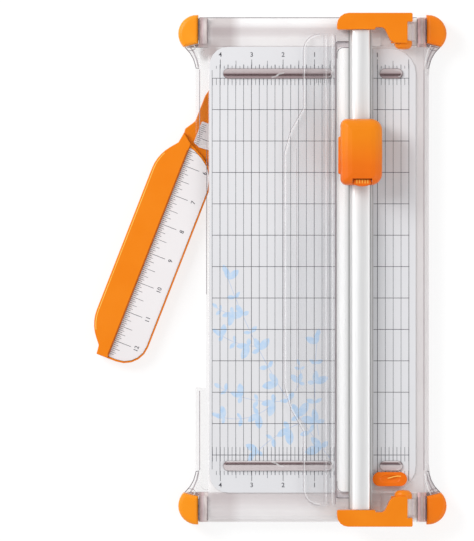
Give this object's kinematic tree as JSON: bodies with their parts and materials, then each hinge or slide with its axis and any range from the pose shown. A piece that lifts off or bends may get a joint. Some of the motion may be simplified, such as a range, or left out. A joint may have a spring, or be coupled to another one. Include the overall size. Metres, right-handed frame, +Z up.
{
  "type": "rotary paper trimmer",
  "caption": "Flat clear-based rotary paper trimmer with a lift-up cutting rail, a sliding blade carriage, printed measuring mats and a swing-out ruler arm.",
  "frame": {"origin": "centre of the object's bounding box in plan, on the table under the foot pads", "axes": "+X towards the hinge side of the rail, +Y along the rail towards the rear, +Z up"},
  "size_m": [0.2854, 0.4144, 0.054],
  "materials": {
    "orange_plastic": "moulded orange plastic with a soft gloss",
    "clear_plastic": "clear moulded plastic",
    "guard_plastic": "thin clear plastic, faintly smoky",
    "mat_plastic": "pale printed sheet with a measuring grid",
    "strip_plastic": "white plastic cutting strip",
    "ruler_plastic": "white plastic with printed ruler marks",
    "white_nylon": "white nylon",
    "rail_aluminium": "satin extruded aluminium",
    "bright_steel": "bright steel",
    "dark_steel": "dark plated steel",
    "foot_rubber": "grey rubber"
  },
  "bodies": {
    "base": {"clear_base": "clear_plastic", "mat_left": "mat_plastic", "mat_right": "mat_plastic", "cutting_strip": "strip_plastic", "hinge_pin_front": "bright_steel", "hinge_pin_rear": "bright_steel", "arm_pivot_screw": "bright_steel", "arm_washer": "white_nylon", "corner_cap_front_left": "orange_plastic", "corner_cap_front_right": "orange_plastic", "corner_cap_rear_left": "orange_plastic", "corner_cap_rear_right": "orange_plastic", "foot_pad_front_left": "foot_rubber", "foot_pad_front_right": "foot_rubber", "foot_pad_rear_left": "foot_rubber", "foot_pad_rear_right": "foot_rubber"},
    "rail": {"rail": "rail_aluminium", "bracket_front": "orange_plastic", "bracket_rear": "orange_plastic", "paper_guard": "guard_plastic", "guard_screw_front": "dark_steel", "guard_screw_rear": "dark_steel", "bracket_screw_front_left": "dark_steel", "bracket_screw_front_right": "dark_steel", "bracket_screw_rear_left": "dark_steel", "bracket_screw_rear_right": "dark_steel"},
    "carriage": {"carriage_shoe": "white_nylon", "press_spring_front": "bright_steel", "press_spring_rear": "bright_steel"},
    "press_head": {"carriage_cover": "orange_plastic", "blade_holder": "white_nylon", "blade_axle": "dark_steel"},
    "blade": {"blade_disc": "bright_steel"},
    "release_button": {"blade_release_button": "orange_plastic"},
    "rail_lock": {"lock_slide": "orange_plastic", "lock_keeper": "white_nylon", "lock_screw": "dark_steel"},
    "swing_arm": {"arm_body": "orange_plastic", "arm_ruler_long": "ruler_plastic", "arm_ruler_short": "ruler_plastic"}
  },
  "joints": [
    {"name": "rail_lift", "type": "hinge", "parent": "base", "child": "rail", "pos_m": [0.10732, 0, 0.027], "axis": [0, 1, 0], "range_deg": [0, 70]},
    {"name": "carriage_slide", "type": "slide", "parent": "rail", "child": "carriage", "axis": [0, 1, 0], "range_m": [-0.259, 0.071]},
    {"name": "blade_press", "type": "slide", "parent": "carriage", "child": "press_head", "axis": [0, 0, -1], "range_m": [0, 0.0024], "stiffness_N_per_m": 2500, "springref_m": -0.001},
    {"name": "blade_spin", "type": "hinge", "parent": "press_head", "child": "blade", "pos_m": [0.06117, 0.09435, 0.0362], "axis": [1, 0, 0], "continuous": true},
    {"name": "release_button_press", "type": "slide", "parent": "press_head", "child": "release_button", "axis": [0, 0, -1], "range_m": [0, 0.0012], "stiffness_N_per_m": 800, "springref_m": -0.0006},
    {"name": "rail_lock_slide", "type": "slide", "parent": "base", "child": "rail_lock", "axis": [-1, 0, 0], "range_m": [0, 0.0019]},
    {"name": "arm_swing", "type": "hinge", "parent": "base", "child": "swing_arm", "pos_m": [-0.02848, 0.1357, 0.0035], "axis": [0, 0, 1], "range_deg": [-68.7, 21.3]}
  ]
}
